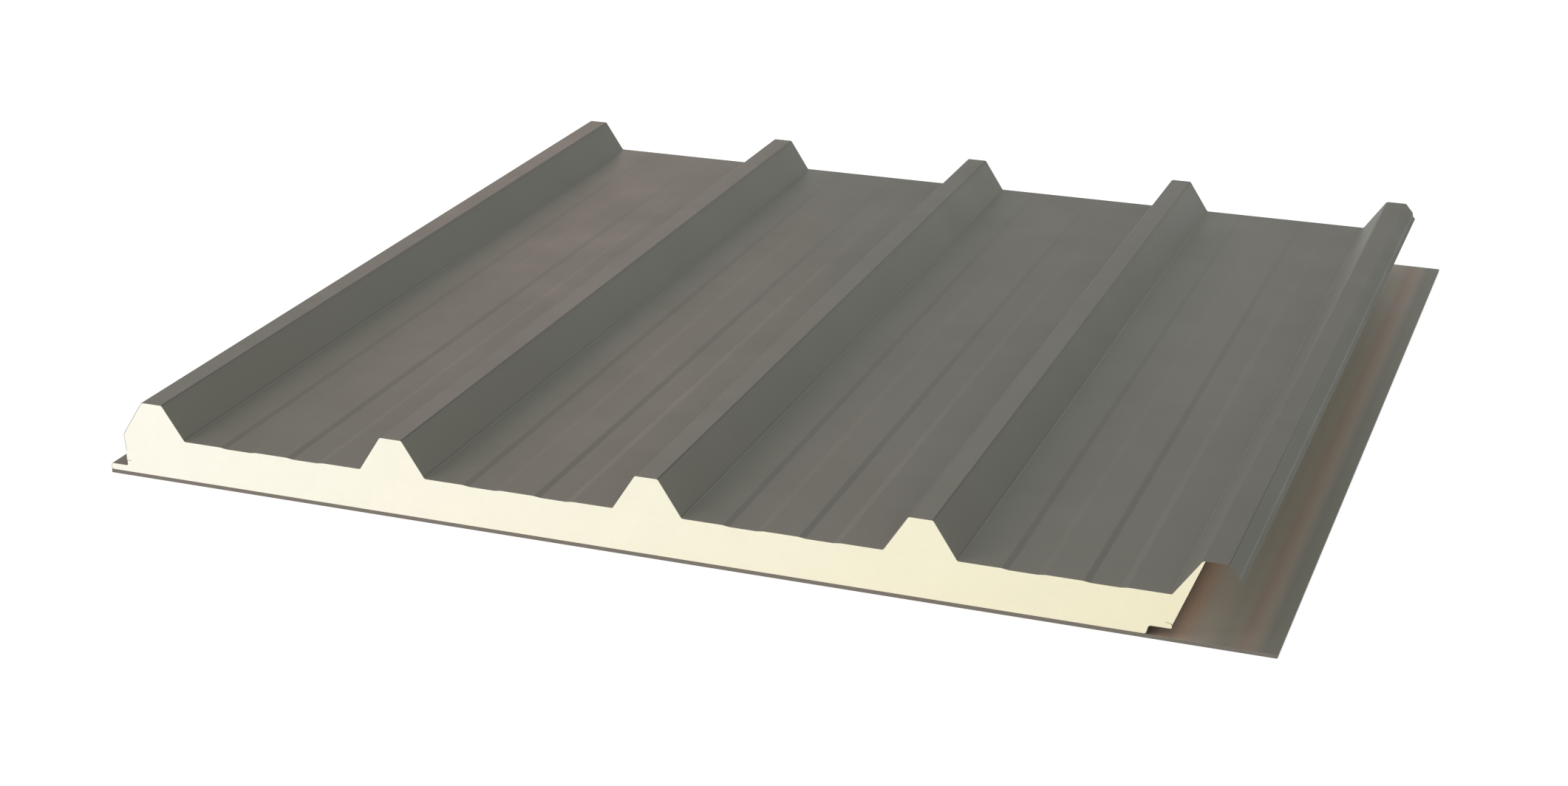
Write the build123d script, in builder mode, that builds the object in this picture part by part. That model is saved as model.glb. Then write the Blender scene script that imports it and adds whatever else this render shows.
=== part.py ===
from build123d import *
import os

# Insulated roof panel: a ribbed steel outer sheet, a rigid foam core, a thin inner
# sheet with a tongue on one edge and a notch on the other, and a flat plate below.
# Millimetres. X runs across the ribs, Y along them, Z up. The origin is the middle
# of the whole part's underside.

# Overall
panel_length = 1020.0
core_depth = 40.0
rib_pitch = 250.0
bay_count = 4
sheet_thickness = 0.5
liner_thickness = 0.4
plate_thickness = 3.5

# Ribs of the outer sheet
rib_height = 34.0
crown_half = 11.0
base_half = 33.0
bend_radius = 2.0

# Shallow stiffening grooves, two in every bay
groove_depth = 0.9
groove_spread = 35.0
groove_top_half = 19.0
groove_floor_half = 12.3

# First rib, which goes under the next panel: lower, with a wall down its outer side
underlap_drop = 0.8
underlap_crown_left = 10.6
wall_head_x = -33.6
wall_head_z = -1.5
wall_foot_x = -32.4
wall_foot_z = -19.0
wall_bend_radius = 4.0

# Last rib, which covers the next panel's first rib: hollow, with a short open leg
overlap_base_half = 34.8
overlap_bend_radius = 4.0
leg_knee_x = 19.4
leg_knee_z = 24.0
leg_shin_x = 19.9
leg_shin_z = 20.1
leg_toe_x = 22.5
leg_toe_z = 17.0
leg_bend_radius = 1.5

# Tongue on the first edge, wrapped by the inner sheet
tongue_reach = 50.8
tongue_height = 6.7
tongue_nose_radius = 2.6
tongue_root_x = -32.5
tongue_root_radius = 1.2
left_return_z = -28.0
left_return_length = 4.8

# Notch on the last edge, which the next panel's tongue goes into
notch_foot_x = -54.3
notch_head_x = -52.3
notch_height = 8.1
notch_radius = 2.4
tip_x = -32.7
tip_lean = 0.4
tip_radius = 1.5
hook_bend_z = 4.9
hook_length = 5.6
hook_rise = 1.0
hook_radius = 2.2

# Slanted cut of the foam below the last rib
cut_foot_z = 3.6
cut_top_inset = 2.2

# Flat plate: flush with the tongue, and wider than the panel on the lap side
plate_overhang = 54.8

# Places worked out from the sizes above
cover_width = rib_pitch * bay_count
overall_width = tongue_reach + cover_width + plate_overhang
first_rib_x = tongue_reach - overall_width / 2
pan_z = plate_thickness + core_depth
lower_crown = rib_height - underlap_drop
liner_z = -core_depth
last_rib = cover_width

# Every section is drawn from the first rib's centre line and the pans' outer face.
section = Plane(origin=(first_rib_x, 0, pan_z), x_dir=(1, 0, 0), z_dir=(0, -1, 0))

groove_1_x = rib_pitch / 2 - groove_spread
groove_2_x = rib_pitch / 2 + groove_spread
bay_start = groove_1_x - groove_top_half
bay_end = groove_2_x + groove_top_half - rib_pitch

wall_foot = (wall_foot_x, wall_foot_z)
wall_head = (wall_head_x, wall_head_z)
wall_middle = ((wall_head_x - underlap_crown_left) / 2, (wall_head_z + lower_crown) / 2)

overlap_middle = (last_rib - (overlap_base_half + crown_half) / 2, rib_height / 2)
cut_top = (last_rib - crown_half + cut_top_inset, rib_height)
tip = (last_rib + tip_x, liner_z + notch_height)
hook_bend = (tip[0] - tip_lean, tip[1] + hook_bend_z)
tip_side = ((tip[0] + hook_bend[0]) / 2, (tip[1] + hook_bend[1]) / 2)
cut_foot = (tip[0] - tip_lean * cut_foot_z / hook_bend_z, tip[1] + cut_foot_z)

root_top = (tongue_root_x, left_return_z)
tongue_top = liner_z + tongue_height


# Outer face of the ribbed sheet where foam lies behind it, from the first rib's wall
# to the crown of the last rib. It is bent in one press line, so the bends are arcs.
with BuildLine() as covered_face:
    FilletPolyline(wall_foot, wall_head, wall_middle, radius=wall_bend_radius)
    FilletPolyline(
        wall_middle,
        (-underlap_crown_left, lower_crown),
        (crown_half, lower_crown),
        (base_half, 0),
        (bay_start, 0),
        radius=bend_radius,
    )
    for rib in range(1, bay_count):
        rib_x = rib * rib_pitch
        FilletPolyline(
            (rib_x + bay_end, 0),
            (rib_x - base_half, 0),
            (rib_x - crown_half, rib_height),
            (rib_x + crown_half, rib_height),
            (rib_x + base_half, 0),
            (rib_x + bay_start, 0),
            radius=bend_radius,
        )
    for bay in range(bay_count):
        groove_1 = bay * rib_pitch + groove_1_x
        groove_2 = bay * rib_pitch + groove_2_x
        Polyline(
            (groove_1 - groove_top_half, 0),
            (groove_1 - groove_floor_half, -groove_depth),
            (groove_1 + groove_floor_half, -groove_depth),
            (groove_1 + groove_top_half, 0),
            (groove_2 - groove_top_half, 0),
            (groove_2 - groove_floor_half, -groove_depth),
            (groove_2 + groove_floor_half, -groove_depth),
            (groove_2 + groove_top_half, 0),
        )
    FilletPolyline(
        (last_rib + bay_end, 0),
        (last_rib - overlap_base_half, 0),
        overlap_middle,
        radius=bend_radius,
    )
    FilletPolyline(
        overlap_middle,
        (last_rib - crown_half, rib_height),
        cut_top,
        radius=overlap_bend_radius,
    )

# Outer face of the last rib beyond the foam: rest of the crown, then the open leg
with BuildLine() as lap_face:
    FilletPolyline(
        cut_top,
        (last_rib + crown_half, rib_height),
        (last_rib + leg_knee_x, leg_knee_z),
        (last_rib + leg_shin_x, leg_shin_z),
        (last_rib + leg_toe_x, leg_toe_z),
        radius=leg_bend_radius,
    )

# Outer sheet: the face above given its thickness, the same all along the panel
with BuildPart() as outer_sheet:
    with BuildSketch(section) as outer_section:
        with BuildLine() as outer_line:
            add(covered_face.line)
            add(lap_face.line)
            offset(amount=sheet_thickness, side=Side.RIGHT)
        make_face()
    extrude(amount=panel_length / 2, both=True)

# Exposed face of the inner sheet: round the tongue, along the flat underside, up into
# the notch and to the tip where the foam's slanted cut starts.
with BuildLine() as liner_face:
    nose_line = (tongue_root_x - 6, tongue_top)
    floor_start = (tongue_root_x, liner_z)
    notch_roof = (last_rib + (notch_head_x + tip_x) / 2, tip[1])
    FilletPolyline(root_top, (tongue_root_x, tongue_top), nose_line, radius=tongue_root_radius)
    FilletPolyline(
        nose_line,
        (-tongue_reach, tongue_top),
        (-tongue_reach, liner_z),
        floor_start,
        radius=tongue_nose_radius,
    )
    FilletPolyline(
        floor_start,
        (last_rib + notch_foot_x, liner_z),
        (last_rib + notch_head_x, tip[1]),
        notch_roof,
        radius=notch_radius,
    )
    FilletPolyline(notch_roof, tip, cut_foot, radius=tip_radius)

# Inner sheet: that face given its thickness, with its two edges turned back into the
# foam, a straight return above the tongue and a curved hook above the tip.
with BuildPart() as inner_sheet:
    with BuildSketch(section) as liner_section:
        with BuildLine() as liner_line:
            left_end = (tongue_root_x + left_return_length, left_return_z)
            root_middle = (tongue_root_x, (left_return_z + tongue_top) / 2)
            hook_end = (hook_bend[0] - hook_length, hook_bend[1] + hook_rise)
            FilletPolyline(left_end, root_top, root_middle, radius=tongue_root_radius)
            FilletPolyline(
                root_middle,
                (tongue_root_x, tongue_top),
                nose_line,
                radius=tongue_root_radius,
            )
            FilletPolyline(
                nose_line,
                (-tongue_reach, tongue_top),
                (-tongue_reach, liner_z),
                floor_start,
                radius=tongue_nose_radius,
            )
            FilletPolyline(
                floor_start,
                (last_rib + notch_foot_x, liner_z),
                (last_rib + notch_head_x, tip[1]),
                notch_roof,
                radius=notch_radius,
            )
            FilletPolyline(notch_roof, tip, tip_side, radius=tip_radius)
            FilletPolyline(tip_side, hook_bend, hook_end, radius=hook_radius)
            offset(amount=liner_thickness, side=Side.LEFT)
        make_face()
    extrude(amount=panel_length / 2, both=True)

# Foam core: fills everything between the two sheets, bare on the strip between their
# left edges and on the slanted cut under the last rib. Both sheets are taken out of it.
with BuildPart() as foam_core:
    with BuildSketch(section) as core_section:
        with BuildLine() as core_line:
            add(covered_face.line)
            Line(cut_top, cut_foot)
            add(liner_face.line)
            Line(root_top, wall_foot)
        make_face()
        add(outer_section.sketch_local, mode=Mode.SUBTRACT)
        add(liner_section.sketch_local, mode=Mode.SUBTRACT)
    extrude(amount=panel_length / 2, both=True)

# Flat plate that the panel lies on
with BuildPart() as base_plate:
    Box(
        overall_width,
        panel_length,
        plate_thickness,
        align=(Align.CENTER, Align.CENTER, Align.MIN),
    )

outer_sheet.part.label = "outer_sheet"
export_step(outer_sheet.part, "parts/outer_sheet.step")

foam_core.part.label = "foam_core"
export_step(foam_core.part, "parts/foam_core.step")

inner_sheet.part.label = "inner_sheet"
export_step(inner_sheet.part, "parts/inner_sheet.step")

base_plate.part.label = "base_plate"
export_step(base_plate.part, "parts/base_plate.step")

for name, piece in (
    ("outer_sheet", outer_sheet.part),
    ("foam_core", foam_core.part),
    ("inner_sheet", inner_sheet.part),
    ("base_plate", base_plate.part),
):
    box = piece.bounding_box()
    print(
        name,
        len(piece.solids()),
        "solid,",
        round(piece.volume / 1000, 2),
        "cm3,",
        [round(v, 2) for v in box.min],
        [round(v, 2) for v in box.max],
    )
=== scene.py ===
# %% [markdown]
# # An insulated roof panel
# A short length of the panel that covers sheds and halls: a ribbed steel sheet on top, rigid
# foam under it, a thin steel sheet below the foam, and the flat plate that it lies on. The
# imported model gives the frame that every piece has to keep to, so it is loaded first.

# %% Load the imported panel
import bmesh
import bpy
import math
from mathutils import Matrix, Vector


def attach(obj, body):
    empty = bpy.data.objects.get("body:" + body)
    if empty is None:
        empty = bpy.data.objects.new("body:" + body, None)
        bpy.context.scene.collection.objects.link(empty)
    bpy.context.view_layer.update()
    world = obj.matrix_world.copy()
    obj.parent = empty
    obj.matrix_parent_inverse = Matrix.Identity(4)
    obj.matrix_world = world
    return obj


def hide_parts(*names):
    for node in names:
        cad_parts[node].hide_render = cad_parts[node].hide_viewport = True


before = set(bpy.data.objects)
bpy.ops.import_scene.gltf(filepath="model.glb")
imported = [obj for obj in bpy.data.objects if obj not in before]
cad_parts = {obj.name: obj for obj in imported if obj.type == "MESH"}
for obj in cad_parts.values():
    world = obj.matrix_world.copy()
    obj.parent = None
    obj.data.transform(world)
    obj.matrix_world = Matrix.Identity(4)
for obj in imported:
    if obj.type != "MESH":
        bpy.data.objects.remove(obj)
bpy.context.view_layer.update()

print("nodes:", sorted(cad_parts))

# %% [markdown]
# ## The camera
# The photograph was taken from the front right with a longish lens, looking down about 22
# degrees. The place and turn come from lining up the corners of the section, so the picture
# needs no shift. Depth of field stays off, as for a product picture.

# %% Place the camera
bpy.ops.object.camera_add(
    location=(0.83282, -2.42149, 0.98745),
    rotation=(math.radians(68.2388), math.radians(0.067), math.radians(20.2676)),
)
camera = bpy.context.object
camera.name = "view_from_front_right"
camera.data.sensor_width = 36
camera.data.lens = 60.033
camera.data.dof.use_dof = False
bpy.context.scene.camera = camera
print("camera lens:", camera.data.lens, "mm")

# %% [markdown]
# ## Sizes
# The sizes are those of the model's source, in millimetres, measured from the first rib's
# centre line and from the flat face between the ribs. `spot` turns such a place into metres
# in the model's own frame, whose origin is the middle of the plate's underside.

# %% Sizes of the section
mm = 0.001
panel_length = 1020
core_depth = 40
rib_pitch = 250
bay_count = 4
sheet_thickness = 0.5
liner_thickness = 0.4
plate_thickness = 3.5

rib_height = 34
crown_half = 11
base_half = 33
groove_depth = 0.9
groove_top_half = 19
groove_floor_half = 12.3
groove_spread = 35
groove_middles = (rib_pitch / 2 - groove_spread, rib_pitch / 2 + groove_spread)

tongue_reach = 50.8
plate_overhang = 54.8
last_rib = rib_pitch * bay_count
overall_width = tongue_reach + last_rib + plate_overhang
pan_z = plate_thickness + core_depth

half_length = panel_length / 2 * mm
half_width = overall_width / 2 * mm


def spot(x, z):
    """A place on the section, as x and z in metres in the model's frame."""
    return Vector(((x + tongue_reach - overall_width / 2) * mm, (z + pan_z) * mm))


print("overall width:", overall_width, "mm; pans", pan_z, "mm above the ground")

# %% [markdown]
# ## Selecting by place
# In a script there is no mouse to pick vertices with, so a small helper selects the ones that
# pass a test of their place. The fold lines of this panel all run straight along it, so a
# place on the section is enough to find one.

# %% Select in edit mode
near = 1e-6


def start_edit(name, thing):
    """Names the object that was just added and goes into edit mode on it alone."""
    thing.name = name
    thing.data.name = name
    bpy.ops.object.mode_set(mode="EDIT")
    bpy.ops.mesh.select_mode(type="VERT")
    return thing


def pick(test):
    """Selects the vertices that the test picks, with the edges and faces between them."""
    bpy.ops.mesh.select_all(action="DESELECT")
    mesh = bmesh.from_edit_mesh(bpy.context.object.data)
    for vertex in mesh.verts:
        vertex.select = test(vertex.co)
    mesh.select_flush_mode()
    bmesh.update_edit_mesh(bpy.context.object.data)


def on_line(place):
    """A test for the vertices on one fold line."""
    return lambda co: abs(co.x - place.x) < near and abs(co.z - place.y) < near


print("a place is found to within", near / mm, "mm")

# %% [markdown]
# ## Folding a sheet
# A roof sheet is roll-formed: flat strip goes in, and one fold after another is pressed along
# its whole length. The same can be done by hand in Blender. A single edge as long as the
# panel is extruded from fold line to fold line, then each fold line is bevelled to the
# radius of its bend, and Solidify gives the strip its thickness. A drawn outline extruded
# lengthways would give the same form, but the folds would be harder to find and to change.

# %% Fold a strip
length_steps = 8


def single_edge(name, place):
    """An edge as long as the panel, in equal steps, at a place on the section."""
    bpy.ops.object.select_all(action="DESELECT")
    bpy.ops.mesh.primitive_plane_add(size=panel_length * mm)
    piece = start_edit(name, bpy.context.object)
    pick(lambda co: co.x < 0)
    bpy.ops.mesh.delete(type="VERT")
    bpy.ops.mesh.select_all(action="SELECT")
    bpy.ops.mesh.subdivide(number_cuts=length_steps - 1)
    bpy.ops.transform.translate(value=(place.x - half_length, 0, place.y))
    return piece


def fold_along(places):
    """Extrudes the selected edge from one fold line to the next."""
    for here, there in zip(places, places[1:]):
        step = there - here
        bpy.ops.mesh.extrude_region_move(
            TRANSFORM_OT_translate={"value": (step.x, 0, step.y)}
        )


print("every strip is divided into", length_steps, "steps along its length")

# %% Round its folds
bend_segments = 12


def turn_at(before, here, after):
    """Angle that the strip turns through at a fold, in radians."""
    return abs((here - before).angle_signed(after - here))


def round_folds(path, places):
    """Bevels every fold line to the radius that the path gives it."""
    for i in range(1, len(path) - 1):
        radius = path[i][2] * mm
        if radius == 0:
            continue
        turn = turn_at(places[i - 1], places[i], places[i + 1])
        pick(on_line(places[i]))
        bpy.ops.mesh.bevel(
            offset_type="OFFSET",
            offset=radius * math.tan(turn / 2),
            segments=bend_segments,
            profile=0.5,
            affect="EDGES",
            clamp_overlap=False,
        )


def folded_strip(name, path):
    """A strip with no thickness that follows a path of x, z and bend radius in millimetres."""
    places = [spot(x, z) for x, z, radius in path]
    strip = single_edge(name, places[0])
    fold_along(places)
    round_folds(path, places)
    return strip


print("every bend is rounded in", bend_segments, "segments")

# %% Face it and give it thickness
back_slot = 1
rim_slot = 2


def face_towards(left_side, path):
    """Turns the faces of a strip to the left or the right of the way its path runs."""
    first, second = (spot(x, z) for x, z, radius in path[:2])
    run = (second - first).normalized()
    wanted = Vector((-run.y, run.x)) if left_side else Vector((run.y, -run.x))
    bpy.ops.mesh.select_all(action="SELECT")
    mesh = bmesh.from_edit_mesh(bpy.context.object.data)
    middle = (first + second) / 2
    leg = min(mesh.faces, key=lambda face: (Vector(face.calc_center_median().xz) - middle).length)
    if leg.normal.x * wanted.x + leg.normal.z * wanted.y < 0:
        bpy.ops.mesh.flip_normals()


def give_thickness(sheet, thickness):
    """Thickens a sheet behind its face; its back and its cut edges get slots of their own."""
    while len(sheet.data.materials) <= rim_slot:
        sheet.data.materials.append(None)
    solidify = sheet.modifiers.new("thickness", "SOLIDIFY")
    solidify.thickness = thickness * mm
    solidify.offset = -1
    solidify.use_even_offset = True
    solidify.material_offset = back_slot
    solidify.material_offset_rim = rim_slot
    bpy.context.view_layer.objects.active = sheet
    bpy.ops.object.modifier_apply(modifier=solidify.name)


def tell(piece):
    """Prints how many faces a piece has and the room that it takes."""
    xs, ys, zs = zip(*(v.co for v in piece.data.vertices))
    size = [round((max(a) - min(a)) / mm, 1) for a in (xs, ys, zs)]
    print(piece.name, "has", len(piece.data.polygons), "faces and measures", size, "mm")


print("sheets of", sheet_thickness, "and", liner_thickness, "mm are thickened behind their face")

# %% [markdown]
# ## The ribbed outer sheet
# Half a millimetre of painted steel with five ribs, 250 mm apart, and two shallow grooves in
# every flat between them, which keep it from buckling. The first rib has a wall bent down
# its outer side and is a little lower, because the next panel's last rib covers it. The last
# rib is hollow and ends in a short kinked leg. The path lists these fold lines from left to
# right, each with the radius of its bend; 0 is a crease so slight that it has none to see.

# %% Fold lines of the first rib
bend = 2.0
wide_bend = 4.0
lower_crown = rib_height - 0.8
lower_crown_left = -10.6
wall_foot = (-32.4, -19)
wall_head = (-33.6, -1.5)

outer_path = [
    (*wall_foot, 0),
    (*wall_head, wide_bend),
    (lower_crown_left, lower_crown, bend),
    (crown_half, lower_crown, bend),
    (base_half, 0, bend),
]
print("the first rib's crown is", lower_crown, "mm above the flats")

# %% Fold lines of the flats and the ribs between them


def bay_grooves(rib_x):
    """Fold lines of the two grooves to the right of a rib."""
    lines = []
    for middle in groove_middles:
        x = rib_x + middle
        lines += [(x - groove_top_half, 0, 0), (x - groove_floor_half, -groove_depth, 0)]
        lines += [(x + groove_floor_half, -groove_depth, 0), (x + groove_top_half, 0, 0)]
    return lines


for rib in range(1, bay_count):
    rib_x = rib * rib_pitch
    outer_path += bay_grooves(rib_x - rib_pitch)
    outer_path += [
        (rib_x - base_half, 0, bend),
        (rib_x - crown_half, rib_height, bend),
        (rib_x + crown_half, rib_height, bend),
        (rib_x + base_half, 0, bend),
    ]
outer_path += bay_grooves(last_rib - rib_pitch)
print("fold lines up to the last rib:", len(outer_path) - 1)

# %% Fold lines of the last rib and its leg
tight_bend = 1.5
lap_base_half = 34.8
knee_x, knee_z = last_rib + 19.4, 24.0
shin_x, shin_z = last_rib + 19.9, 20.1
toe_x, toe_z = last_rib + 22.5, 17.0

outer_path += [
    (last_rib - lap_base_half, 0, bend),
    (last_rib - crown_half, rib_height, wide_bend),
    (last_rib + crown_half, rib_height, tight_bend),
    (knee_x, knee_z, tight_bend),
    (shin_x, shin_z, tight_bend),
    (toe_x, toe_z, 0),
]
print("the outer sheet has", len(outer_path) - 2, "fold lines")

# %% [markdown]
# ## Grooves that run out
# In the photograph the grooves are at their deepest at the near end and run out to nothing at
# the far end, whose edge is straight. The strip is divided along its length, so the floor of
# every groove can be lifted a little more at each step.

# %% Fold the outer sheet and give it its thickness


def run_out_grooves(floor_z):
    """Lifts the floors of the grooves step by step towards the far end."""
    floor = spot(0, floor_z).y
    for step in range(1, length_steps + 1):
        y = (step / length_steps - 0.5) * panel_length * mm
        pick(lambda co: abs(co.y - y) < near and abs(co.z - floor) < near)
        bpy.ops.transform.translate(value=(0, 0, groove_depth * mm * step / length_steps))
    lifted = sum(v.select for v in bmesh.from_edit_mesh(bpy.context.object.data).verts)
    print("lifted", lifted, "corners of the grooves at every step")


outer_sheet = folded_strip("roof_sheet", outer_path)
run_out_grooves(-groove_depth)
face_towards(True, outer_path)
bpy.ops.object.mode_set(mode="OBJECT")
give_thickness(outer_sheet, sheet_thickness)
tell(outer_sheet)

# %% [markdown]
# ## The inner sheet
# The thin sheet under the foam does more than close it. On the left it wraps the tongue that
# slides into the next panel, and on the right it lines the notch that takes such a tongue.
# Both its edges are turned back into the foam, so that they hold and can't cut a hand. It is
# folded in the same way, with the face that shows on the outside of the path.

# %% Fold lines of the tongue
liner_z = -core_depth
tongue_top = liner_z + 6.7
root_x = -32.5
return_z = -28.0
return_length = 4.8
root_bend = 1.2
nose_bend = 2.6

liner_path = [
    (root_x + return_length, return_z, 0),
    (root_x, return_z, root_bend),
    (root_x, tongue_top, root_bend),
    (-tongue_reach, tongue_top, nose_bend),
    (-tongue_reach, liner_z, nose_bend),
]
print("the tongue is", round(tongue_top - liner_z, 1), "mm high")

# %% Fold lines of the notch and the hook
notch_foot_x = last_rib - 54.3
notch_head_x = last_rib - 52.3
notch_roof = liner_z + 8.1
notch_bend = 2.4
tip_x = last_rib - 32.7
hook_x = tip_x - 0.4
hook_z = notch_roof + 4.9
hook_bend = 2.2
hook_length = 5.6
hook_rise = 1.0

liner_path += [
    (notch_foot_x, liner_z, notch_bend),
    (notch_head_x, notch_roof, notch_bend),
    (tip_x, notch_roof, tight_bend),
    (hook_x, hook_z, hook_bend),
    (hook_x - hook_length, hook_z + hook_rise, 0),
]
print("the notch is", round(notch_roof - liner_z, 1), "mm high")

# %% Fold the inner sheet and give it its thickness
inner_sheet = folded_strip("liner_sheet", liner_path)
face_towards(False, liner_path)
bpy.ops.object.mode_set(mode="OBJECT")
give_thickness(inner_sheet, liner_thickness)
tell(inner_sheet)

# %% [markdown]
# ## The foam core
# The foam rises between the two sheets and sticks to both, so its outline is theirs, moved in
# by their thickness. `inset` works that out: it shifts every leg of a path sideways, and the
# bends grow or shrink with it. Where no sheet is, the foam is bare: on a strip of the left
# wall, on the slanted cut under the last rib, and on the two sawn ends.

# %% Move a path sideways


def inset(path, distance):
    """The path moved to its left by a distance in millimetres, with its bends' radii."""
    places = [Vector((x, z)) for x, z, radius in path]
    runs = [(there - here).normalized() for here, there in zip(places, places[1:])]
    moved = []
    for i, (x, z, radius) in enumerate(path):
        before, after = runs[max(i - 1, 0)], runs[min(i, len(runs) - 1)]
        side = Vector((-before.y - after.y, before.x + after.x))
        place = places[i] + side * distance / (1 + before.dot(after))
        if radius:
            turns_left = before.x * after.y - before.y * after.x > 0
            radius += -distance if turns_left else distance
        moved.append((place.x, place.y, radius))
    return moved


foam_top = inset(outer_path, -sheet_thickness)
foam_floor = inset(liner_path, liner_thickness)
print("the foam follows", len(foam_top), "places above and", len(foam_floor), "below")

# %% Outline of the foam
under_crown = rib_height - sheet_thickness
crown_corner = (last_rib - crown_half + 0.24, under_crown)
crown_corner_bend = wide_bend - sheet_thickness
cut_top = (last_rib - crown_half + 2.02, under_crown)
cut_foot = (tip_x - 0.29, notch_roof + 3.6)
places_past_the_foam = 5

foam_outline = [
    outer_path[0],
    *foam_top[:-places_past_the_foam],
    (*crown_corner, crown_corner_bend),
    (*cut_top, 0),
    (*cut_foot, 0),
    (hook_x, hook_z, tight_bend),
    liner_path[-1],
    *reversed(foam_floor),
    liner_path[0],
    (root_x, return_z, 0),
]
print("the foam's outline has", len(foam_outline), "corners")

# %% Shape the foam
foam_core = folded_strip("foam_core_sawn", foam_outline + foam_outline[:1])
bpy.ops.mesh.select_all(action="SELECT")
bpy.ops.mesh.remove_doubles(threshold=near)
run_out_grooves(-groove_depth - sheet_thickness)
for end in (-half_length, half_length):
    pick(lambda co: abs(co.y - end) < near)
    bpy.ops.mesh.edge_face_add()
bpy.ops.mesh.select_all(action="SELECT")
bpy.ops.mesh.normals_make_consistent(inside=False)
bpy.ops.object.mode_set(mode="OBJECT")
tell(foam_core)

# %% [markdown]
# ## The plate
# A flat plate lies under the whole panel, level with the tongue on the left and wider than
# the panel on the right. A cube brought to its size would have knife-sharp edges that catch
# no light, so its edges are broken by a quarter of a millimetre, as a sheared plate's are.
# Only the long edge at the lower right is rounder, as its corner in the photograph is.

# %% Shape the plate
round_edge = 1.5
broken_edge = 0.25


def bevel_picked(size, segments):
    """Bevels the selected edges by a size in millimetres."""
    bpy.ops.mesh.bevel(
        offset_type="OFFSET", offset=size * mm, segments=segments, profile=0.5, affect="EDGES"
    )


bpy.ops.object.select_all(action="DESELECT")
bpy.ops.mesh.primitive_cube_add(size=1, location=(0, 0, 0))
plate = start_edit("ground_plate", bpy.context.object)
bpy.ops.mesh.select_all(action="SELECT")
bpy.ops.transform.resize(
    value=(overall_width * mm, panel_length * mm, plate_thickness * mm)
)
bpy.ops.transform.translate(value=(0, 0, plate_thickness * mm / 2))
pick(lambda co: co.x > 0 and co.z < near)
bevel_picked(round_edge, segments=8)
bpy.ops.mesh.select_all(action="DESELECT")
bpy.ops.mesh.edges_select_sharp(sharpness=math.radians(60))
bevel_picked(broken_edge, segments=3)
bpy.ops.mesh.select_all(action="SELECT")
bpy.ops.mesh.normals_make_consistent(inside=False)
bpy.ops.object.mode_set(mode="OBJECT")
tell(plate)

# %% [markdown]
# ## Each piece stands for its part of the model
# The pieces keep to the solids they replace, which are hidden.

# %% Tie the pieces to the model
for piece, node, slot in (
    (outer_sheet, "outer_sheet", "outer_paint"),
    (inner_sheet, "inner_sheet", "liner_paint"),
    (foam_core, "foam_core", "foam"),
    (plate, "base_plate", "plate_paint"),
):
    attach(piece, "root")
    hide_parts(node)
    print(piece.name, "stands for", node)

# %% [markdown]
# ## Short ways to write nodes
# Every finish here is a tree of nodes, and so are the floor's white and the world's. Joining
# nodes one by one takes many lines, so a small class adds, feeds and joins them, and a second
# one starts a material with it. Two colours blend, and a ramp turns one range into another.

# %% A tree of nodes


class NodeTree:
    """A node tree, with short ways to add and join its nodes."""

    def __init__(self, tree):
        self.nodes = tree.nodes
        self.links = tree.links

    def add(self, kind, **settings):
        node = self.nodes.new(kind)
        for key, value in settings.items():
            setattr(node, key, value)
        return node

    def put(self, socket, value):
        """Links a socket to another node's output, or sets it to a number or colour."""
        if isinstance(value, bpy.types.NodeSocket):
            self.links.new(value, socket)
        else:
            socket.default_value = value

    def feed(self, node, **inputs):
        """Fills inputs that are named with _ for a space."""
        for key, value in inputs.items():
            self.put(node.inputs[key.replace("_", " ")], value)
        return node

    def ramp(self, value, low, high, to_low=0.0, to_high=1.0):
        node = self.add("ShaderNodeMapRange")
        self.feed(node, Value=value, From_Min=low, From_Max=high, To_Min=to_low, To_Max=to_high)
        return node.outputs["Result"]

    def math(self, operation, *values):
        node = self.add("ShaderNodeMath", operation=operation)
        for socket, value in zip(node.inputs, values):
            self.put(socket, value)
        return node.outputs[0]

    def blend(self, amount, first, second):
        """One colour turning into another."""
        node = self.add("ShaderNodeMix", data_type="RGBA")
        for index, value in ((0, amount), (6, first), (7, second)):
            self.put(node.inputs[index], value)
        return node.outputs[2]


def tint(colour, factor):
    """A colour made lighter or darker by a factor, or by one for each of its channels."""
    factors = factor if isinstance(factor, tuple) else (factor,) * 3
    return (*(min(1, c * f) for c, f in zip(colour, factors)), 1)


print("a grey darkened by a tenth:", tint((0.5, 0.5, 0.5), 0.9))

# %% A material made step by step
matt_gloss = 0.2


class Finish(NodeTree):
    """A node material whose patterns are read from the object's own coordinates."""

    def __init__(self, name):
        self.material = bpy.data.materials.new(name)
        self.material.use_nodes = True
        super().__init__(self.material.node_tree)
        self.shader = self.nodes["Principled BSDF"]
        self.place = self.add("ShaderNodeTexCoord").outputs["Object"]

    def axes(self):
        """The object's coordinates, one by one."""
        return self.feed(self.add("ShaderNodeSeparateXYZ"), Vector=self.place).outputs

    def stretched(self, x, y, z):
        """The object's coordinates, scaled along each axis."""
        node = self.feed(self.add("ShaderNodeMapping"), Vector=self.place, Scale=(x, y, z))
        return node.outputs["Vector"]

    def noise(self, scale, detail, rough=0.5, where=None):
        node = self.add("ShaderNodeTexNoise")
        self.feed(node, Vector=where or self.place, Scale=scale, Detail=detail, Roughness=rough)
        return node.outputs["Fac"]

    def bump(self, height, depth, strength, under=None):
        """Relief whose depth is in metres."""
        node = self.add("ShaderNodeBump")
        self.feed(node, Height=height, Distance=depth, Strength=strength)
        if under:
            self.put(node.inputs["Normal"], under)
        return node.outputs["Normal"]


print("a matt coat's specular level:", matt_gloss)

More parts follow.
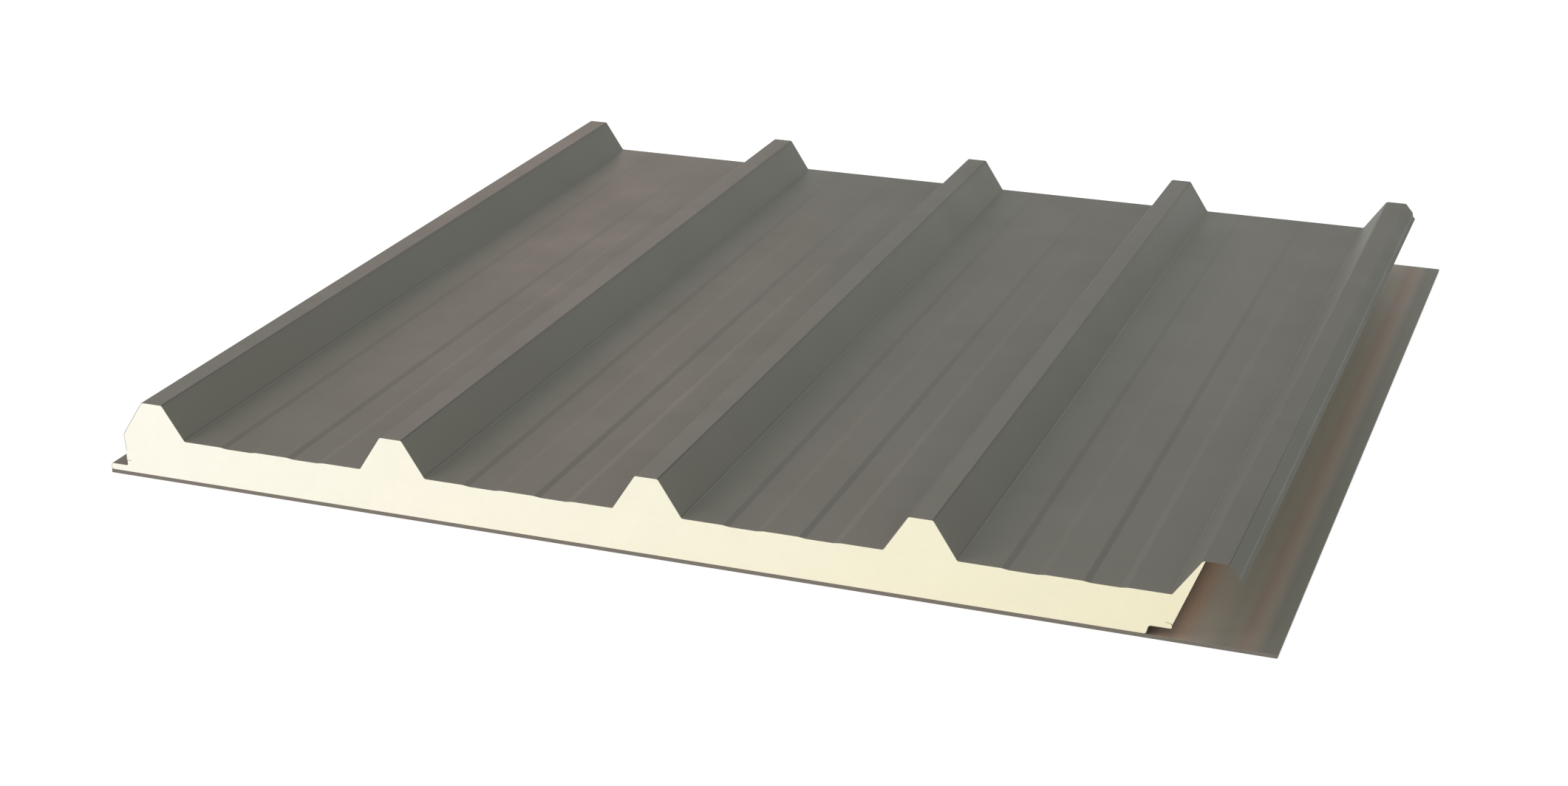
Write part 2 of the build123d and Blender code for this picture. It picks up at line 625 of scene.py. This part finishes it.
# %% [markdown]
# ## Paint
# Coil-coated steel has a thin matt coat with a very fine grain. Over a metre its colour drifts
# by a percent or so along the rolling direction, and its gloss is never quite even. All of it
# is built from noise read from the object's own coordinates, so it has its true size. A
# picture of a painted sheet would do for one view, but it blurs close up and has to be
# unwrapped over every bend.

# %% Coil coating


def coil_coating(name, colour, roughness, stripes=None):
    """Matt coat of a painted sheet; stripes lays further colours over its own."""
    coat = Finish(name)
    drift = coat.noise(2.2, detail=3, where=coat.stretched(1, 0.5, 1))
    cloud = coat.noise(14, detail=4, rough=0.6)
    grain = coat.noise(2600, detail=2, rough=0.6)
    speck = coat.noise(900, detail=1)
    base = coat.blend(coat.ramp(drift, 0.3, 0.7), tint(colour, 0.988), tint(colour, 1.012))
    base = coat.blend(coat.ramp(speck, 0.62, 0.8, 0, 0.25), base, tint(colour, 0.9))
    if stripes:
        base = stripes(coat, base, colour)
    matt = coat.ramp(cloud, 0.3, 0.7, roughness - 0.03, roughness + 0.04)
    coat.feed(
        coat.shader,
        Base_Color=base,
        Roughness=coat.math("ADD", matt, coat.ramp(grain, 0, 1, -0.03, 0.03)),
        Normal=coat.bump(grain, 0.006 * mm, 0.6),
        Specular_IOR_Level=matt_gloss,
    )
    return coat.material


liner_paint = coil_coating("brown_grey_liner_coating", (0.180, 0.149, 0.129), 0.5)
backing = coil_coating("brown_backing_coat", (0.60, 0.43, 0.31), 0.6)
print("made", liner_paint.name, "and", backing.name)

# %% [markdown]
# ## Painted light and shade on the outer sheet
# Thin darker lines are painted along the edges of every rib's crown and foot and along the
# groove ramps that face right, and lighter lines along the ramps that face left: painted shade
# and painted highlight where the folds turn away from the light or towards it. The lines lie at
# set distances from a rib's centre line, so one ruler repeated at every rib places them all: a
# remainder counts from the rib on the left, and a ping-pong counts both ways. Masks painted by
# hand would have to be painted again for every rib. The lines run out towards the far end as
# the grooves do. The right slopes and the foot of the flat beside them are painted a shade
# lighter and greener, more so further back, as painted fill light. The left slope of the last
# rib is painted greener, and its crown and leg a shade darker, as painted light and shade.

# %% Stripes along the panel


def stripe(coat, across, middle, half, fade):
    """1 on a stripe that runs along the panel, fading to 0 beside it; sizes in millimetres."""
    away = coat.math("ABSOLUTE", coat.math("SUBTRACT", across, middle * mm))
    return coat.ramp(away, half * mm, (half + fade) * mm, 1, 0)


def painted_slope_fill(coat, base, colour, right_of, along_panel):
    """Painted fill light on each rib's right slope and the flat's foot beside it, more so further
    back.
    """
    slope = coat.ramp(right_of, crown_half * mm, (crown_half + 3) * mm)
    foot = coat.ramp(right_of, (base_half + 12) * mm, (base_half + 42) * mm, 1, 0)
    further_back = coat.ramp(along_panel, -half_length, 0, 0.3, 1.0)
    mask = coat.math("MULTIPLY", coat.math("MULTIPLY", slope, foot), further_back)
    return coat.blend(mask, base, tint(colour, (1.09, 1.13, 1.14)))


# Painted light and shade on the last rib, its left slope greener and its crown and leg darker:
# middle from the rib's centre line, half width, fade, factor
painted_last_rib_shades = (
    (-23, 10, 2, (1.0, 1.12, 1.12)),
    (0, 10, 1.5, 0.88),
    (17.5, 5, 1.5, 0.8),
)
print("the last rib has", len(painted_last_rib_shades), "shades of its own")

# %% Painted shade lines of the outer sheet
ramp_middle = (groove_top_half + groove_floor_half) / 2
bend_line_end = 140 * mm


def paint_light_and_shade(coat, base, colour):
    """Lays painted fill light, the last rib's painted light and shade, and painted shade lines.
    """
    axes = coat.axes()
    rib_before = spot(-rib_pitch, 0).x
    along_ribs = coat.math("SUBTRACT", axes["X"], rib_before)
    beside = coat.math("PINGPONG", along_ribs, rib_pitch / 2 * mm)
    right_of = coat.math("MODULO", along_ribs, rib_pitch * mm)
    # Painted fill light, lighter and greener, on the right slopes and the feet of the flats
    base = painted_slope_fill(coat, base, colour, right_of, axes["Y"])
    # Painted light and shade on the last rib's left slope, crown and leg
    for x, half, fade, factor in painted_last_rib_shades:
        mask = stripe(coat, axes["X"], spot(last_rib + x, 0).x / mm, half, fade)
        base = coat.blend(mask, base, tint(colour, factor))
    on_bends = coat.ramp(axes["Y"], -half_length, bend_line_end, 1.0, 0.25)
    on_ramps = coat.ramp(axes["Y"], -half_length, half_length, 1.0, 0.15)
    first, second = groove_middles
    # Painted shade on the bends and right-facing ramps, painted highlight on the left-facing
    # ramps
    for strength, ruler, middle, half, fade, factor in (
        (on_bends, beside, crown_half - 0.3, 0.5, 0.5, 0.58),
        (on_bends, beside, base_half - 0.6, 0.3, 0.5, 0.81),
        (on_ramps, right_of, first - ramp_middle, 2.3, 0.9, 0.81),
        (on_ramps, right_of, first + ramp_middle, 2.3, 0.9, 1.03),
        (on_ramps, right_of, second - ramp_middle, 2.3, 0.9, 0.80),
        (on_ramps, right_of, second + ramp_middle, 2.3, 0.9, 1.06),
    ):
        mask = coat.math("MULTIPLY", stripe(coat, ruler, middle, half, fade), strength)
        base = coat.blend(mask, base, tint(colour, factor))
    return base


outer_colour = (0.168, 0.150, 0.133)
outer_paint = coil_coating("grey_brown_coil_coating", outer_colour, 0.5, paint_light_and_shade)
print("made", outer_paint.name, "with", len(outer_paint.node_tree.nodes), "nodes")

# %% [markdown]
# ## Painted light on the plate
# Beside the foam, under the lap, the photograph shows two soft brown bands on the plate with
# grey between them. They are painted into the plate's coat, lighter and browner than its own
# colour, as painted reflection and bounce light where the lap shuts the light out. They
# start gently at the near end and stay off the plate's edges.

# %% Coat of the plate


def painted_light_bands(coat, base, colour):
    """Soft lighter bands on top, under the lap: painted reflection and bounce light on the coat.
    """
    axes = coat.axes()
    top = plate_thickness * mm
    on_top = coat.ramp(axes["Z"], top - 0.15 * mm, top - 0.02 * mm)
    onset = coat.ramp(axes["Y"], -half_length, -half_length + 45 * mm, 0.6, 1.0)
    shown = coat.math("MULTIPLY", on_top, onset)
    # Painted reflection and bounce light: middle, half width, fade, colour
    for x, half, fade, shade in (
        (1006, 12, 26, (0.39, 0.33, 0.295, 1)),
        (1027, 3, 11, (0.325, 0.235, 0.20, 1)),
        (982, 8, 20, (0.50, 0.42, 0.385, 1)),
        (965, 9, 12, (0.60, 0.40, 0.325, 1)),
    ):
        mask = stripe(coat, axes["X"], spot(x, 0).x / mm, half, fade)
        base = coat.blend(coat.math("MULTIPLY", mask, shown), base, shade)
    return base


plate_colour = (0.180, 0.159, 0.138)
plate_paint = coil_coating("grey_brown_plate_coating", plate_colour, 0.5, painted_light_bands)
print("made", plate_paint.name)

# %% [markdown]
# ## Sheared edges
# A coil is painted before it is cut, so every cut edge shows bare steel under the brown of the
# primer. The shear leaves fine lines across the thickness. The faces that Solidify made round
# the rim have a slot of their own, so no mask is needed to find them.

# %% Sheared edge


def sheared_steel(name, colour):
    """Bare cut edge with the fine lines that a shear leaves."""
    edge = Finish(name)
    lines = edge.noise(900, detail=3, rough=0.6, where=edge.stretched(1, 0.3, 1))
    stain = edge.noise(60, detail=4, rough=0.6)
    base = edge.blend(lines, tint(colour, 0.8), tint(colour, 1.2))
    base = edge.blend(edge.ramp(stain, 0.45, 0.7, 0, 0.5), base, tint(colour, 0.7))
    edge.feed(
        edge.shader,
        Base_Color=base,
        Metallic=0.35,
        Roughness=edge.ramp(lines, 0.2, 0.8, 0.4, 0.6),
        Normal=edge.bump(lines, 0.02 * mm, 0.5),
    )
    return edge.material


sheared = sheared_steel("sheared_steel_edge", (0.075, 0.038, 0.026))
print("made", sheared.name)

# %% [markdown]
# ## Foam
# Rigid foam is full of closed cells under half a millimetre across. A saw opens them, so the
# cut face is matt and finely pitted, with faint marks from the blade, and its cream colour
# is a touch uneven. Voronoi cells make the pits, and a stretched noise the saw's marks. The
# cream is painted paler on the left and yellower towards the lap, as painted light across the
# cut face.

# %% Sawn foam


def sawn_foam(name, left, right):
    """Cream closed-cell foam with open cells on the cut, painted paler to the left as painted
    light.
    """
    foam = Finish(name)
    across = foam.ramp(foam.axes()["X"], -half_width, half_width)

    def cream(factor):
        """The colour with its painted light across the panel, made lighter or darker."""
        return foam.blend(across, tint(left, factor), tint(right, factor))

    cells = foam.add("ShaderNodeTexVoronoi", feature="F1")
    foam.feed(cells, Vector=foam.place, Scale=2100.0)
    pits = foam.ramp(cells.outputs["Distance"], 0.0, 0.7)
    clouds = foam.noise(28, detail=5, rough=0.65)
    mottle = foam.noise(160, detail=3, rough=0.6)
    saw = foam.noise(420, detail=2, where=foam.stretched(1, 1, 0.12))
    base = foam.blend(foam.ramp(clouds, 0.3, 0.7), cream(0.985), cream(1.01))
    base = foam.blend(foam.ramp(mottle, 0.45, 0.75, 0, 0.35), base, cream(0.97))
    base = foam.blend(foam.ramp(pits, 0.0, 0.35, 0.22, 0.0), base, cream(0.8))
    marks = foam.bump(saw, 0.05 * mm, 0.5)
    foam.feed(
        foam.shader,
        Base_Color=base,
        Roughness=foam.ramp(mottle, 0.2, 0.8, 0.86, 0.96),
        Normal=foam.bump(pits, 0.12 * mm, 0.5, marks),
        Specular_IOR_Level=matt_gloss,
    )
    return foam.material


# Painted light: paler on the left, yellower towards the lap
foam_cut = sawn_foam("cream_rigid_foam", (0.898, 0.885, 0.804), (0.918, 0.843, 0.624))
print("made", foam_cut.name)

# %% [markdown]
# ## Each piece gets its finish
# The slots go in the order that Solidify used: face, back, cut edges.

# %% Give every piece its finish
for piece, finishes in (
    (outer_sheet, (outer_paint, backing, sheared)),
    (inner_sheet, (liner_paint, backing, sheared)),
    (foam_core, (foam_cut,)),
    (plate, (plate_paint,)),
):
    piece.data.materials.clear()
    for finish in finishes:
        piece.data.materials.append(finish)
    print(piece.name, "is finished in", ", ".join(finish.name for finish in finishes))

# %% [markdown]
# ## Floor
# A plain pale floor that shows white to the camera and keeps the panel's soft shadow: its own
# colour takes the light, and a little white is added for what looks at it directly. It lies a
# hair below the plate, so that the two never share a plane.

# %% Floor
floor_size = 24
floor_gap = 0.3 * mm


def seen_directly(tree):
    """1 for what the camera, a reflection or a look through glass meets, 0 for light."""
    ray = tree.add("ShaderNodeLightPath").outputs
    seen = tree.math("MAXIMUM", ray["Is Camera Ray"], ray["Is Glossy Ray"])
    return tree.math("MAXIMUM", seen, ray["Is Transmission Ray"])


bpy.ops.object.select_all(action="DESELECT")
bpy.ops.mesh.primitive_plane_add(size=floor_size, location=(0, 0, -floor_gap))
floor = bpy.context.object
floor.name = "studio_floor"

pale = Finish("pale_floor")
pale.feed(
    pale.shader,
    Base_Color=(0.6, 0.6, 0.6, 1),
    Roughness=0.9,
    Specular_IOR_Level=0.0,
    Emission_Color=(1, 1, 1, 1),
    Emission_Strength=pale.math("MULTIPLY", seen_directly(pale), 0.75),
)
floor.data.materials.append(pale.material)
print("the floor is", floor_size, "m across")

# %% [markdown]
# ## World
# The world gives an even, slightly green light from all sides, and white to whatever looks at
# it directly or in a reflection. Making the light itself white and strong would bleach the
# backdrop as well, but then the cream of the foam would be lost.

# %% World
world = bpy.data.worlds.new("studio")
bpy.context.scene.world = world
world.use_nodes = True
sky = NodeTree(world.node_tree)
even_light = sky.feed(sky.nodes["Background"], Color=(0.88, 1.0, 0.93, 1), Strength=0.43)
backdrop = sky.feed(sky.add("ShaderNodeBackground"), Color=(1, 1, 1, 1), Strength=1.0)
mixed = sky.add("ShaderNodeMixShader")
parts = (seen_directly(sky), even_light.outputs[0], backdrop.outputs[0])
for socket, value in zip(mixed.inputs, parts):
    sky.put(socket, value)
sky.feed(sky.nodes["World Output"], Surface=mixed.outputs[0])
print("the world lights the panel at", round(even_light.inputs["Strength"].default_value, 2))

# %% [markdown]
# ## Lamps
# Large soft boxes do the rest, as in a studio. A low strip and two boxes in front light the
# sawn end, one overhead and one at the back left model the ribs, a weak one on the right
# lifts the right slopes, and a low strip at the back the far ends. Each is tinted a little,
# because in the photograph the slopes are greener than the flats between them.

# %% Lamps


def soft_lamp(name, place, width, height, power, colour):
    """A soft box at a place, turned towards the middle of the panel."""
    bpy.ops.object.light_add(type="AREA", location=place)
    lamp = bpy.context.object
    lamp.name = name
    lamp.data.shape = "RECTANGLE"
    lamp.data.size = width
    lamp.data.size_y = height
    lamp.data.energy = power
    lamp.data.color = colour
    lamp.rotation_euler = Vector(place).to_track_quat("Z", "Y").to_euler()
    print(name, "shines with", power, "W")


soft_lamp("front_strip", (-0.6, -2.6, 0.22), 1.4, 0.3, 16, (1.0, 0.95, 1.0))
soft_lamp("front_right_box", (0.9, -2.4, 0.6), 0.8, 0.8, 11, (1.0, 1.0, 0.93))
soft_lamp("front_left_box", (-1.4, -1.5, 0.95), 0.8, 0.8, 9, (1.0, 0.82, 0.80))
soft_lamp("top_box", (0.2, 0, 2.4), 1.4, 1.4, 9, (0.78, 1.0, 0.85))
soft_lamp("back_left_box", (-1.5, 2.4, 0.8), 0.8, 0.8, 3, (1.0, 0.52, 0.46))
soft_lamp("right_box", (1.9, 0.8, 0.6), 0.8, 0.8, 2, (0.8, 1.0, 0.9))
soft_lamp("back_strip", (0.3, 3.0, 0.15), 1.4, 0.2, 3, (1.0, 0.85, 0.9))

# %% [markdown]
# ## View transform
# The scene uses the Standard view transform. The visual model has to stay in the model's
# box.

# %% View transform
bpy.context.scene.view_settings.view_transform = "Standard"
